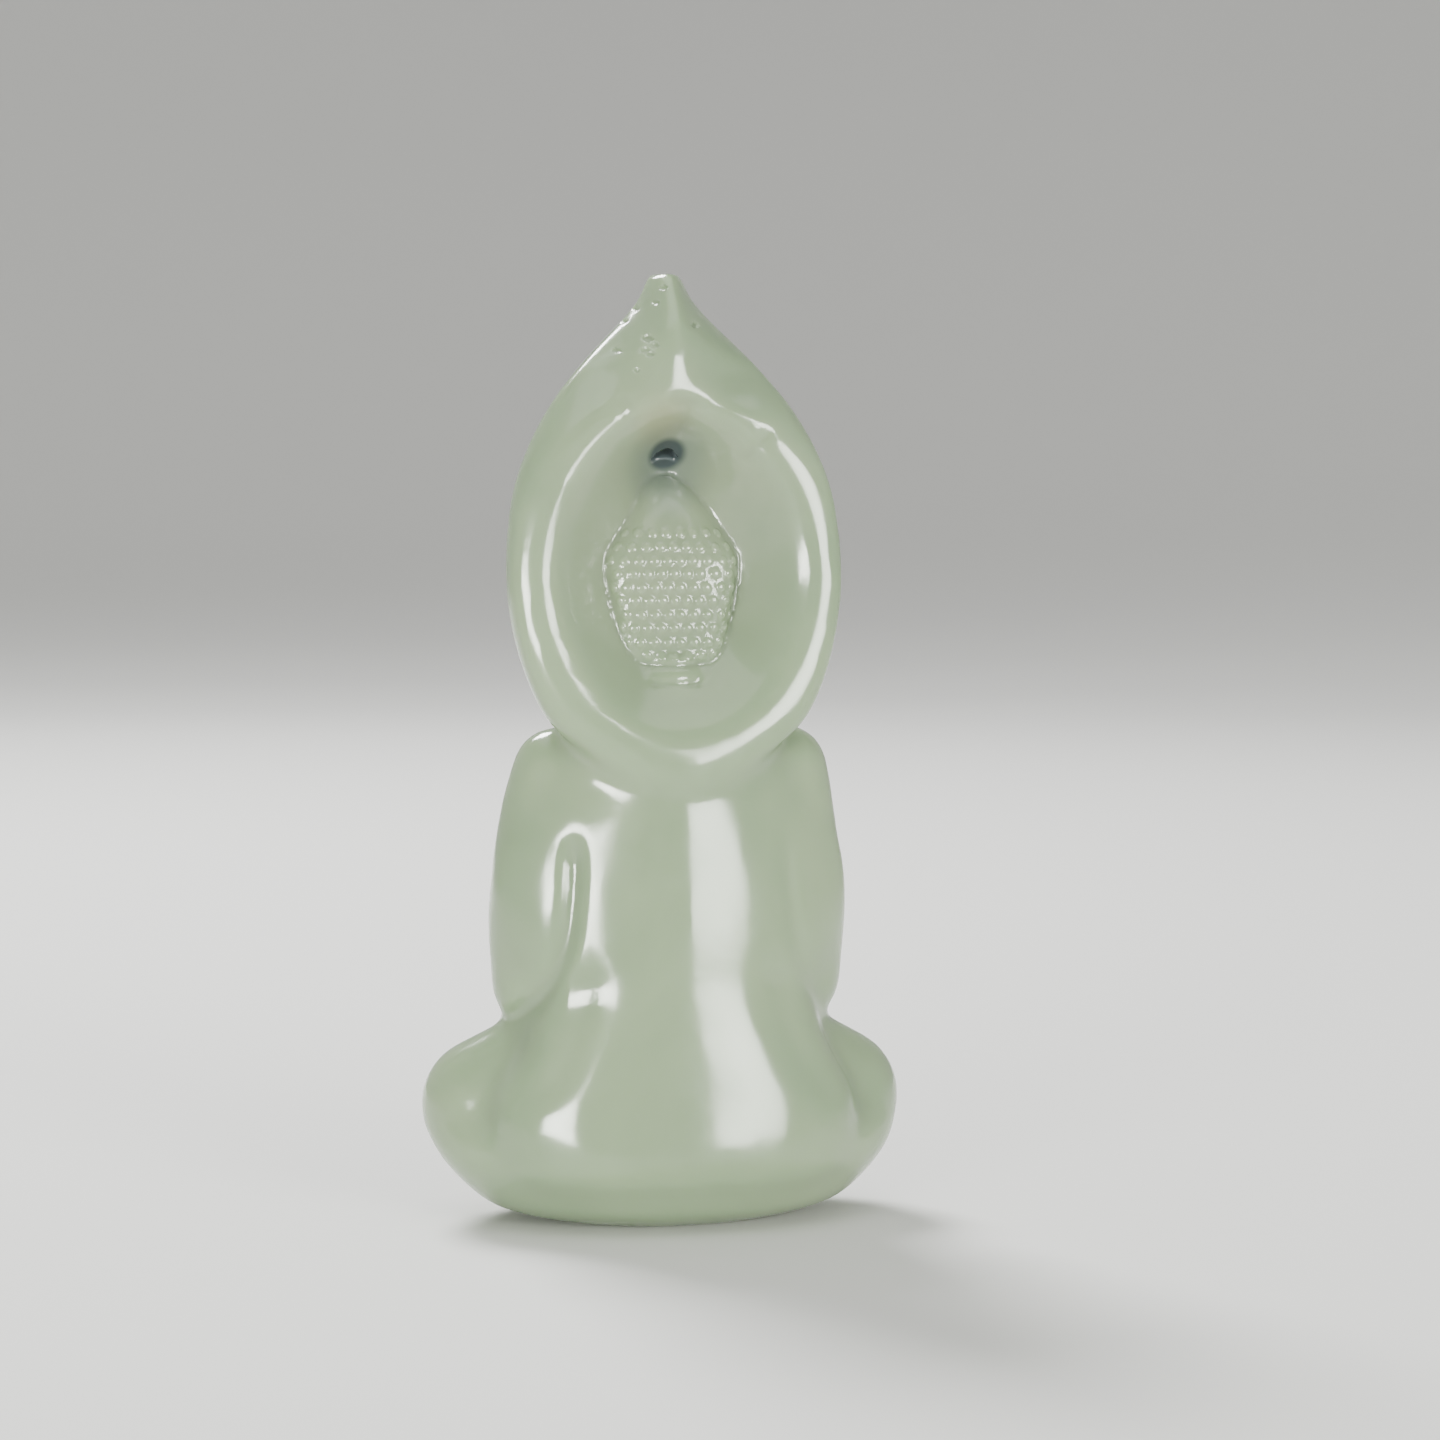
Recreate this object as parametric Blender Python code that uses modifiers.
"""A small seated figure carved in one piece from pale nephrite, under a pointed petal-shaped aureole.

Metres, +Z up. The figure faces -Y. The origin is the middle of the small ground flat under the seat.
The forms of the figure are written in units of U, which is one fifty-sixth of the height and so
one millimetre at the real size.
"""

import math

import bmesh
import bpy
import numpy as np
from mathutils import Matrix, Vector

HEIGHT = 0.056
U = HEIGHT / 56

FOOT_FLAT_CUT = 0.0003
CORD_HOLE_WIDTH = 0.0020
CORD_HOLE_HEIGHT = 0.0016
CORD_HOLE_LEVEL = 44.65 * U
CORD_HOLE_CLIMB = 0.8

GRAIN = 0.00028
FINE_GRAIN = 0.00022
TRIANGLES = 9400

JADE_COLOUR = (0.62, 0.67, 0.56, 1.0)
JADE_ROUGHNESS = 0.16

RING_POINTS = 56
BALL_POINTS = 24
ARCH_POINTS = 9
LEVELS_PER_STEP = 4
RING_LEVEL = 38.5
RING_HALF_WIDTH = 8.9
RING_HALF_HEIGHT = 11.0
RING_DEPTH = 3.9
RING_LEAN = 0.075
RING_FALL = 0.007
RING_TURN = 0.045
RING_SOFTNESS = 0.25
BOWL_DEPTH = 4.4
CRISP_WEIGHT = 0.2


def clear_scene():
    for obj in list(bpy.data.objects):
        bpy.data.objects.remove(obj)


def new_object(name, mesh, collection):
    obj = bpy.data.objects.new(name, mesh)
    collection.objects.link(obj)
    return obj


def mesh_from(bm):
    bmesh.ops.recalc_face_normals(bm, faces=bm.faces)
    mesh = bpy.data.meshes.new("form")
    bm.to_mesh(mesh)
    bm.free()
    return mesh


def ellipsoid(centre, radii, turn=(0, 0, 0)):
    """An egg of the given half sizes, turned by degrees about X, Y and Z."""
    bm = bmesh.new()
    bmesh.ops.create_uvsphere(bm, u_segments=BALL_POINTS, v_segments=BALL_POINTS // 2, radius=1)
    size = Matrix.Diagonal((*[r * U for r in radii], 1))
    spin = Matrix.Identity(4)
    for angle, axis in zip(turn, "XYZ"):
        spin = Matrix.Rotation(math.radians(angle), 4, axis) @ spin
    place = Matrix.Translation(Vector(centre) * U)
    bm.transform(place @ spin @ size)
    return mesh_from(bm)


def limb(points, radii):
    """Tapered lengths with round ends, one from each point to the next."""
    meshes = []
    for (start, end), (first, last) in zip(zip(points, points[1:]), zip(radii, radii[1:])):
        bm = bmesh.new()
        for centre, radius in ((start, first), (end, last)):
            place = Matrix.Translation(Vector(centre) * U)
            bmesh.ops.create_uvsphere(
                bm, u_segments=BALL_POINTS // 2, v_segments=BALL_POINTS // 3, radius=radius * U, matrix=place
            )
        hull = bmesh.ops.convex_hull(bm, input=bm.verts)
        inner = [v for v in hull["geom_interior"] if isinstance(v, bmesh.types.BMVert)]
        bmesh.ops.delete(bm, geom=inner, context="VERTS")
        meshes.append(mesh_from(bm))
    return meshes


def both_sides(maker, points, *rest):
    """The same form on the figure's left and on its right."""
    made = []
    for side in (1, -1):
        made += maker([(side * x, y, z) for x, y, z in points], *rest)
    return made


def eased(levels):
    """Rows of numbers with smooth steps added between them."""
    rows = []
    for i in range(len(levels) - 1):
        before, here = levels[max(i - 1, 0)], levels[i]
        there, after = levels[i + 1], levels[min(i + 2, len(levels) - 1)]
        for step in range(LEVELS_PER_STEP):
            t = step / LEVELS_PER_STEP
            rows.append(
                [
                    b + 0.5 * t * (c - a + t * (2 * a - 5 * b + 4 * c - d + t * (3 * (b - c) + d - a)))
                    for a, b, c, d in zip(before, here, there, after)
                ]
            )
    rows.append(list(levels[-1]))
    return rows


def signed_power(value, power):
    return math.copysign(abs(value) ** power, value)


def loft(levels):
    """A solid through level outlines: height, half width, middle, depth behind, depth in front,
    and how square the outline is behind and in front, from 1, a diamond, through 2, an ellipse."""
    bm = bmesh.new()
    rings = []
    for z, wide, middle, behind, front, square_behind, square_front in eased(levels):
        ring = []
        for i in range(RING_POINTS):
            angle = 2 * math.pi * i / RING_POINTS
            at_back = math.sin(angle) >= 0
            power = 2 / (square_behind if at_back else square_front)
            x = wide * signed_power(math.cos(angle), power)
            y = middle + (behind if at_back else front) * signed_power(math.sin(angle), power)
            ring.append(bm.verts.new((x * U, y * U, z * U)))
        rings.append(ring)
    for low, high in zip(rings, rings[1:]):
        for i in range(RING_POINTS):
            j = (i + 1) % RING_POINTS
            bm.faces.new((low[i], low[j], high[j], high[i]))
    bm.faces.new(list(reversed(rings[0])))
    bm.faces.new(rings[-1])
    return mesh_from(bm)


def aureole():
    """The thick pointed petal behind and around the head. Its top leans forward over the head,
    with a ridge down the middle of its back."""
    return loft(
        [
            (26.2, 2.0, 2.9, 1.2, 2.3, 2, 2),
            (26.9, 3.6, 2.9, 1.8, 3.0, 2, 2),
            (28.2, 5.3, 2.8, 1.92, 4.4, 2.6, 2),
            (30.2, 7.6, 2.7, 1.86, 5.2, 3.2, 2.2),
            (33.0, 8.95, 2.5, 1.78, 5.5, 3.6, 2.4),
            (36.0, 9.72, 2.1, 1.9, 5.3, 3.8, 2.5),
            (39.0, 9.97, 1.8, 1.97, 5.0, 3.8, 2.5),
            (42.8, 9.65, 1.4, 2.27, 4.7, 3.2, 2.5),
            (45.7, 8.78, 1.0, 2.72, 4.3, 2.5, 2.4),
            (48.5, 7.3, 0.5, 3.0, 3.7, 1.7, 2.3),
            (50.6, 5.65, -0.1, 3.3, 2.9, 1.4, 2.2),
            (52.4, 3.9, -0.85, 3.5, 2.1, 1.3, 2.1),
            (54.6, 1.78, -1.5, 2.9, 1.5, 1.3, 2),
            (56.35, 0.95, -2.0, 1.8, 1.1, 1.5, 2),
        ]
    )


def torso():
    """Chest and back, and the bell of the robe that runs down into the seat."""
    return loft(
        [
            (1.0, 8.6, -1.8, 5.2, 5.0, 2.2, 2),
            (3.4, 10.8, -0.8, 6.95, 6.5, 2.4, 2),
            (5.2, 11.2, 0.0, 6.32, 7.0, 2.4, 2),
            (8.0, 10.8, 1.0, 4.95, 7.5, 2.3, 2),
            (10.5, 9.4, 1.4, 4.3, 7.4, 2.2, 2),
            (12.5, 8.7, 0.9, 4.58, 6.6, 2.15, 2),
            (14.5, 8.8, 0.4, 4.9, 5.9, 1.9, 1.9),
            (17.0, 10.2, 0.3, 4.8, 5.6, 1.72, 1.8),
            (20.0, 10.7, 0.1, 4.77, 5.2, 1.65, 1.7),
            (22.8, 10.3, 0.0, 4.64, 5.0, 1.6, 1.7),
            (24.6, 9.5, 0.0, 4.5, 4.9, 1.6, 1.7),
            (26.8, 8.2, 0.0, 4.26, 4.5, 1.6, 1.7),
            (28.8, 6.7, 0.1, 3.7, 4.0, 1.8, 2),
            (30.4, 5.0, 0.0, 2.6, 3.0, 2, 2),
        ]
    )


def arms():
    """Upper arms down to the elbows, then the sleeved forearms in to the lap."""
    forms = both_sides(limb, [(7.7, -1.2, 14.4), (6.4, -5.2, 12.7), (3.3, -7.6, 11.9)], (2.7, 2.3, 1.6))
    for side, top in ((1, 6.6), (-1, 7.1)):
        shoulder = [(top, -1.2, 27.1), (0.4 * top + 4.5, -1.1, 25.0)]
        upper = [*shoulder, (7.6, -1.0, 22.4), (7.85, -0.9, 18.5), (7.75, -1.2, 14.6)]
        forms += limb([(side * x, y, z) for x, y, z in upper], (2.65, 2.75, 2.8, 2.95, 2.8))
    return forms


def seat():
    """The rounded underside, and the thighs that run out and down to the knees."""
    under = loft(
        [
            (0.0, 2.4, -1.8, 1.6, 2.2, 2, 2),
            (0.3, 6.1, -1.7, 3.8, 4.8, 2, 2),
            (1.2, 10.1, -1.7, 6.2, 7.1, 2, 2),
            (2.6, 12.1, -1.9, 7.3, 8.3, 2, 2),
            (4.6, 13.75, -2.1, 7.7, 8.7, 2, 2),
            (6.6, 14.3, -2.7, 6.7, 8.1, 2, 2),
            (8.3, 12.9, -3.0, 5.2, 7.0, 2, 2),
            (9.6, 9.6, -3.2, 3.8, 5.6, 2, 2),
            (10.6, 6.0, -3.4, 2.4, 3.6, 2, 2),
        ]
    )
    thighs = both_sides(limb, [(5.4, -0.2, 12.0), (7.8, -1.8, 9.6), (10.55, -3.0, 7.15)], (3.0, 3.2, 4.0))
    return [under, *thighs]


def shins():
    """The crossed legs under the robe, one lying over the other in front of the lap."""
    over = [(10.2, -5.4, 6.3), (4.6, -8.4, 6.4), (-3.2, -9.0, 5.5), (-7.0, -7.6, 4.6)]
    under = [(-10.2, -5.4, 6.0), (-5.0, -8.0, 4.4), (1.0, -8.4, 3.6)]
    return limb(over, (2.9, 2.4, 2.1, 1.7)) + limb(under, (2.9, 2.5, 2.2))


def neck():
    """The neck, which spreads at its foot in to the shoulders and the floor of the bowl."""
    return loft(
        [
            (27.8, 6.2, -0.2, 2.8, 3.2, 2, 2),
            (29.0, 4.9, -0.4, 2.8, 3.1, 2, 2),
            (30.4, 3.8, -0.9, 4.1, 3.1, 2, 2),
            (32.0, 3.2, -1.4, 3.85, 3.0, 2, 2),
            (34.0, 3.1, -1.8, 3.6, 2.6, 2, 2),
        ]
    )


def hair():
    """The squared block of hair at the back of the head, and the tapering top-knot."""
    return loft(
        [
            (33.2, 2.8, -1.9, 3.1, 1.4, 4, 2),
            (33.9, 3.0, -1.9, 3.45, 1.5, 6, 2),
            (35.5, 3.4, -2.0, 3.6, 1.8, 6, 2),
            (38.0, 3.85, -2.1, 3.7, 2.4, 6, 2),
            (39.6, 4.05, -2.2, 3.65, 2.9, 5, 2),
            (41.0, 3.65, -2.4, 3.5, 2.5, 3, 2),
            (42.4, 2.95, -2.6, 3.1, 2.0, 2.3, 2),
            (43.5, 2.0, -2.7, 2.5, 1.5, 2, 2),
            (44.2, 1.1, -2.8, 1.6, 1.0, 2, 2),
            (44.5, 0.5, -2.8, 0.9, 0.6, 2, 2),
        ]
    )


def head():
    """Skull and face."""
    skull = ellipsoid((0, -3.3, 38.2), (4.05, 4.1, 4.5))
    face = ellipsoid((0, -4.4, 36.2), (3.4, 3.3, 4.2))
    jaw = ellipsoid((0, -4.6, 34.6), (3.15, 2.8, 2.9))
    chin = ellipsoid((0, -6.3, 32.6), (1.3, 0.95, 0.85))
    cheeks = [ellipsoid((side * 1.5, -5.75, 34.7), (1.4, 1.3, 1.8)) for side in (1, -1)]
    return [skull, face, jaw, chin, *cheeks]


def features():
    """Calm lowered lids, a straight nose and small closed lips."""
    nose = limb([(0, -7.3, 37.4), (0, -8.0, 35.0)], (0.36, 0.52))
    wings = [ellipsoid((side * 0.55, -7.7, 34.85), (0.42, 0.45, 0.36)) for side in (1, -1)]
    lids = [ellipsoid((side * 1.55, -6.95, 36.3), (1.0, 0.6, 0.5)) for side in (1, -1)]
    brow = [(0.3, -7.3, 37.5), (1.1, -7.2, 37.95), (2.0, -6.75, 37.95), (2.8, -6.0, 37.45)]
    brows = both_sides(limb, brow, (0.2, 0.2, 0.2, 0.2))
    lips = [ellipsoid((0, -7.2, 33.8), (1.05, 0.55, 0.26)), ellipsoid((0, -7.15, 33.35), (0.8, 0.5, 0.27))]
    return [*nose, *wings, *lids, *brows, *lips]


def ears():
    """Long ears with heavy lobes."""
    return [
        *[ellipsoid((side * 4.1, -3.5, 36.7), (0.65, 1.2, 1.6), (0, side * 4, 0)) for side in (1, -1)],
        *[ellipsoid((side * 3.95, -3.7, 35.2), (0.6, 0.85, 1.3)) for side in (1, -1)],
        *[ellipsoid((side * 3.85, -3.9, 33.9), (0.7, 0.85, 1.45)) for side in (1, -1)],
    ]


def hands():
    """Hands laid one in the other on the lap, palms up, with the thumbs meeting above them."""
    forms = []
    for side, y, z in ((-1, -7.4, 10.5), (1, -7.1, 11.5)):
        forms.append(ellipsoid((side * 1.9, y - 1.1, z - 0.45), (2.0, 1.75, 0.75), (22, 0, 0)))
        for i, reach in enumerate((2.1, 2.5, 2.7, 2.4)):
            row_y, row_z = y - 0.74 * i, z - 0.05 - 0.33 * i
            forms += limb(
                [
                    (side * 1.2, row_y, row_z),
                    (side * -1.0, row_y - 0.25, row_z - 0.05),
                    (side * -reach, row_y + 0.05, row_z + 0.05),
                ],
                (0.5, 0.46, 0.34),
            )
    thumbs = both_sides(limb, [(2.9, -8.2, 11.7), (1.6, -8.6, 12.5), (0.25, -8.9, 12.75)], (0.65, 0.5, 0.42))
    return [*forms, *thumbs]


def carved_lines():
    """The lines cut or raised on the front: points given by x and z, half width, and lift above the
    surface, which is less than zero for a groove."""
    lines = [
        ([(4.4, 28.6), (3.9, 26.4), (2.9, 23.4), (1.3, 20.2), (-0.7, 17.4), (-3.0, 15.2)], 0.55, 0.5),
        ([(-4.4, 28.6), (-3.9, 26.4), (-2.9, 23.4), (-1.7, 21.0), (-0.9, 19.6)], 0.55, 0.45),
        ([(3.4, 27.6), (2.9, 25.6), (2.0, 23.0), (0.5, 20.2), (-1.4, 17.6)], 0.4, -0.25),
        ([(-3.4, 27.6), (-2.9, 25.6), (-2.1, 23.2), (-1.0, 21.2)], 0.4, -0.25),
    ]
    for side in (1, -1):
        for drop in (0.0, 1.7, 3.4):
            lines.append(
                (
                    [
                        (side * (8.6 - 0.15 * drop), 23.0 - drop),
                        (side * 6.9, 20.0 - drop),
                        (side * 5.6, 17.6 - 0.8 * drop),
                        (side * 3.4, 15.8 - 0.5 * drop),
                    ],
                    0.45,
                    -0.4,
                )
            )
        lines.append(
            ([(side * 9.0, 12.4), (side * 6.9, 10.9), (side * 4.6, 10.2), (side * 3.2, 10.3)], 0.45, -0.45)
        )
    for rise in (0.0, 1.5, 3.0):
        outer = 6.4 + 0.6 * rise
        over = [(11.0, outer), (7.4, 4.9 + rise), (3.4, 4.0 + rise), (-1.6, 3.7 + rise)]
        under = [(-11.4, outer + 0.2), (-8.6, 5.4 + rise), (-6.0, 4.2 + rise), (-3.4, 3.4 + rise)]
        lines += [(over, 0.45, -0.4), (under, 0.45, -0.4)]
    return lines


def back_lines():
    """The soft creases on the back: behind each arm, between the back and each thigh, and across the top
    of the ring."""
    lines = [
        ([(-3.9, 45.3), (-4.7, 46.2), (-5.6, 47.2)], 0.45, -0.12),
        ([(-0.5, 46.6), (-0.7, 48.0), (-0.8, 49.0)], 0.6, -0.16),
        ([(2.3, 47.2), (2.9, 48.3), (3.3, 49.1)], 0.45, -0.12),
        ([(-1.7, 48.55), (-0.6, 48.9), (0.5, 48.95)], 0.3, -0.1),
    ]
    behind_arm = [(6.3, 23.8), (6.4, 20.6), (6.9, 17.2), (8.2, 14.2), (9.8, 12.3)]
    above_thigh = [(5.7, 16.0), (5.8, 14.0), (6.6, 11.5), (7.6, 9.6), (9.8, 7.6)]
    for side, depth in ((1, -0.5), (-1, -0.22)):
        lines.append(([(side * x, z) for x, z in behind_arm], 0.6, depth))
        lines.append(([(side * x, z) for x, z in above_thigh], 0.9, -0.15))
    return lines


def ring_reach(spots):
    """How far out each point lies from the middle of the ring round the bowl: 1 on its crest."""
    return np.hypot(spots[:, 0] / RING_HALF_WIDTH, (spots[:, 2] - RING_LEVEL) / RING_HALF_HEIGHT)


def beyond(x, start, side):
    """Grows evenly on one side of a line, from a soft corner on it."""
    out = side * (x - start)
    return 0.5 * (out + np.sqrt(out**2 + 0.12))


def ridge_fall(x):
    """How far the back of the tip falls away from its ridge: little on the narrow facet, more past it."""
    return 0.34 * beyond(x, -0.1, -1) + 0.08 * beyond(x, -0.1, 1) + 0.26 * beyond(x, 1.2, 1)


def bowl_floor(spots):
    """How far back the surface of the bowl lies, with the deeper pit round the top-knot."""
    x, _, z = spots.T
    crest = RING_DEPTH - RING_LEAN * (z - RING_LEVEL) - RING_FALL * x**2 + RING_TURN * x
    crest -= 0.007 * np.clip(z - 42, 0, 6) ** 2
    crest -= np.clip((z - 48.2) / 2.2, 0, 1) * ridge_fall(x)
    gentle = 2.4 + 0.9 * np.clip((RING_LEVEL - z) / 10, 0, 1)
    dip = (1 - np.clip(ring_reach(spots), 0, 1) ** 3) ** gentle
    pit = np.exp(-((x / 2.5) ** 2) - ((z - 45.1) / 2.4) ** 2)
    return crest - BOWL_DEPTH * dip - 3.9 * pit * dip**0.3


def press_bowl(obj):
    """Presses the back of the aureole in, from the soft crest of its ring down to the floor of the bowl."""
    mesh = obj.data
    spots = np.empty(len(mesh.vertices) * 3)
    mesh.vertices.foreach_get("co", spots)
    spots = spots.reshape(-1, 3) / U
    chosen = (ring_reach(spots) < 1.3) & (spots[:, 2] > 27) & (spots[:, 1] > -2.6)
    floor_there = bowl_floor(spots[chosen])
    here = spots[chosen, 1]
    low, gap = np.minimum(here, floor_there), np.abs(here - floor_there)
    spots[chosen, 1] = low - RING_SOFTNESS * np.log1p(np.exp(-gap / RING_SOFTNESS))
    mesh.vertices.foreach_set("co", (spots * U).ravel())
    mesh.update()


def joined(name, meshes, collection):
    bm = bmesh.new()
    for mesh in meshes:
        bm.from_mesh(mesh)
    whole = bpy.data.meshes.new(name)
    bm.to_mesh(whole)
    bm.free()
    return new_object(name, whole, collection)


def settled(obj):
    """Makes the object's modifiers its mesh."""
    graph = bpy.context.evaluated_depsgraph_get()
    mesh = bpy.data.meshes.new_from_object(obj.evaluated_get(graph))
    obj.modifiers.clear()
    obj.data = mesh
    return obj


def fused(obj, grain, passes, crisp_above=None):
    """One skin round all the forms, rubbed down as a polishing wheel would, but less above a level."""
    remesh = obj.modifiers.new("one_skin", "REMESH")
    remesh.mode = "VOXEL"
    remesh.voxel_size = grain
    settled(obj)
    smooth = obj.modifiers.new("polish", "SMOOTH")
    smooth.factor = 0.5
    smooth.iterations = passes
    if crisp_above is not None:
        group = obj.vertex_groups.new(name="polish")
        for vert in obj.data.vertices:
            weight = (crisp_above + 2 - vert.co.z / U) / 2
            group.add([vert.index], max(CRISP_WEIGHT, min(1, weight)), "REPLACE")
        smooth.vertex_group = "polish"
    settled(obj)
    obj.vertex_groups.clear()
    return obj


def carve(obj, lines, side=-1):
    """Raises or sinks the front of the mesh along soft lines, or its back with a side of 1."""
    mesh = obj.data
    count = len(mesh.vertices)
    spots = np.empty(count * 3)
    mesh.vertices.foreach_get("co", spots)
    spots = spots.reshape(-1, 3)
    facing = np.empty(count * 3)
    mesh.vertex_normals.foreach_get("vector", facing)
    facing = facing.reshape(-1, 3)
    lift = np.zeros(count)
    flat = spots[:, [0, 2]] / U
    for points, width, height in lines:
        path = np.array(eased(points))
        near = np.full(count, np.inf)
        along = np.zeros(count)
        for i, (start, end) in enumerate(zip(path, path[1:])):
            run = end - start
            t = np.clip((flat - start) @ run / (run @ run), 0, 1)
            away = np.hypot(*(flat - start - t[:, None] * run).T)
            closer = away < near
            near[closer] = away[closer]
            along[closer] = (i + t[closer]) / (len(path) - 1)
        fade = np.clip(np.minimum(along, 1 - along) * 6 + 0.1, 0, 1)
        lift += height * fade * np.exp(-((near / width) ** 2))
    turned = np.clip((side * facing[:, 1] - 0.05) / 0.45, 0, 1)
    spots += facing * (lift * turned * U)[:, None]
    mesh.vertices.foreach_set("co", spots.ravel())
    mesh.update()


def cut(obj, cutter):
    difference = obj.modifiers.new("cut", "BOOLEAN")
    difference.operation = "DIFFERENCE"
    difference.object = cutter
    bpy.context.view_layer.update()
    return settled(obj)


def helper(name, mesh, collection):
    obj = new_object(name, mesh, collection)
    obj.hide_render = True
    obj.display_type = "WIRE"
    return obj


def cord_hole():
    """An arched hole that climbs from back to front, between the top-knot and the aureole."""
    bm = bmesh.new()
    around = []
    for i in range(ARCH_POINTS):
        angle = math.pi * i / (ARCH_POINTS - 1)
        around.append((math.cos(angle) * (1 - 0.3 * math.sin(angle)), math.sin(angle)))
    for i in range(1, ARCH_POINTS - 1):
        angle = math.pi * i / (ARCH_POINTS - 1)
        around.append((-math.cos(angle), 0.3 * math.sin(angle)))
    rings = []
    for y in (-10, 10):
        level = CORD_HOLE_LEVEL - CORD_HOLE_CLIMB * (y + 1.2) * U
        rings.append(
            [bm.verts.new((x * CORD_HOLE_WIDTH / 2, y * U, level + z * CORD_HOLE_HEIGHT)) for x, z in around]
        )
        bm.faces.new(rings[-1])
    for i in range(len(around)):
        j = (i + 1) % len(around)
        bm.faces.new((rings[0][i], rings[0][j], rings[1][j], rings[1][i]))
    return mesh_from(bm)


def ground_block():
    """What is ground away under the seat to leave a small flat."""
    bm = bmesh.new()
    bmesh.ops.create_cube(bm, size=1)
    size = Matrix.Diagonal((HEIGHT, HEIGHT, HEIGHT, 1))
    bm.transform(Matrix.Translation((0, 0, FOOT_FLAT_CUT - HEIGHT / 2)) @ size)
    return mesh_from(bm)


def jade():
    material = bpy.data.materials.new("nephrite")
    material.use_nodes = True
    shader = material.node_tree.nodes["Principled BSDF"]
    shader.inputs["Base Color"].default_value = JADE_COLOUR
    shader.inputs["Roughness"].default_value = JADE_ROUGHNESS
    shader.inputs["Metallic"].default_value = 0
    return material


def main():
    clear_scene()
    figure = bpy.data.collections.new("figure")
    cutters = bpy.data.collections.new("cutters")
    for collection in (figure, cutters):
        bpy.context.scene.collection.children.link(collection)

    carving = joined("buddha_carving", [aureole(), torso(), *arms(), *seat()], figure)
    fused(carving, GRAIN, 14, crisp_above=49)
    press_bowl(carving)
    fused(carving, GRAIN, 10, crisp_above=50)

    body = joined("body", [carving.data, *shins(), neck()], figure)
    bpy.data.objects.remove(carving)
    fused(body, GRAIN, 7, crisp_above=50)
    carve(body, carved_lines())
    carve(body, back_lines(), side=1)
    top_knot = new_object("top_knot", hair(), figure)
    through = helper("cord_hole", cord_hole(), cutters)
    cut(body, through)
    cut(top_knot, through)
    forms = [body.data, top_knot.data, *hands(), *head(), *features(), *ears()]
    carving = joined("buddha_carving", forms, figure)
    bpy.data.objects.remove(body)
    bpy.data.objects.remove(top_knot)
    fused(carving, FINE_GRAIN, 3)

    thin = carving.modifiers.new("facets", "DECIMATE")
    thin.ratio = TRIANGLES / (2 * len(carving.data.polygons))
    settled(carving)
    cut(carving, helper("ground_block", ground_block(), cutters))
    carving.data.transform(Matrix.Translation((0, 0, -FOOT_FLAT_CUT)))
    carving.data.materials.append(jade())
    carving.data.shade_smooth()


main()
